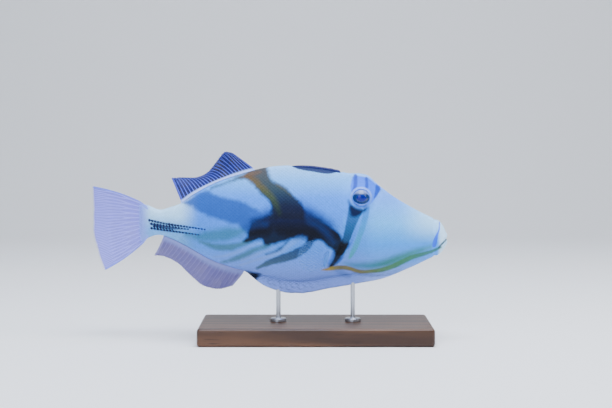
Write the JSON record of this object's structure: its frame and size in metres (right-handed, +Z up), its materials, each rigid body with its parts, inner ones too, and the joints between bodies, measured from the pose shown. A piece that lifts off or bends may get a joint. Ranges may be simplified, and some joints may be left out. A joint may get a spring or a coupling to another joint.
{
  "type": "picasso triggerfish model on a display stand",
  "caption": "Life-size still model of a picasso triggerfish, swimming level with fins spread, held by thin rods over a flat wooden display base.",
  "frame": {"origin": "on the surface the base stands on, under the middle of the fish's total length and on its middle plane", "axes": "+X towards the fish's snout, +Y to its left side, +Z up"},
  "size_m": [0.2001, 0.064, 0.1063],
  "materials": {
    "skin": "painted resin skin, pale blue with dark bars, satin",
    "fin": "thin lavender resin, see-through, satin",
    "dark_spines": "navy, satin",
    "eye": "polished, dark blue",
    "stand_wood": "dark varnished, satin",
    "stand_metal": "fine brushed"
  },
  "bodies": {
    "root": {"head": "skin", "torso": "skin", "tail_stalk": "skin", "eye_left": "eye", "eye_right": "eye", "dorsal_spines": "dark_spines", "dorsal_fin": "fin", "anal_fin": "fin", "caudal_fin": "fin", "pectoral_fin_left": "fin", "pectoral_fin_right": "fin", "stand_base": "stand_wood", "stand_rod_front": "stand_metal", "stand_rod_rear": "stand_metal"}
  },
  "joints": []
}
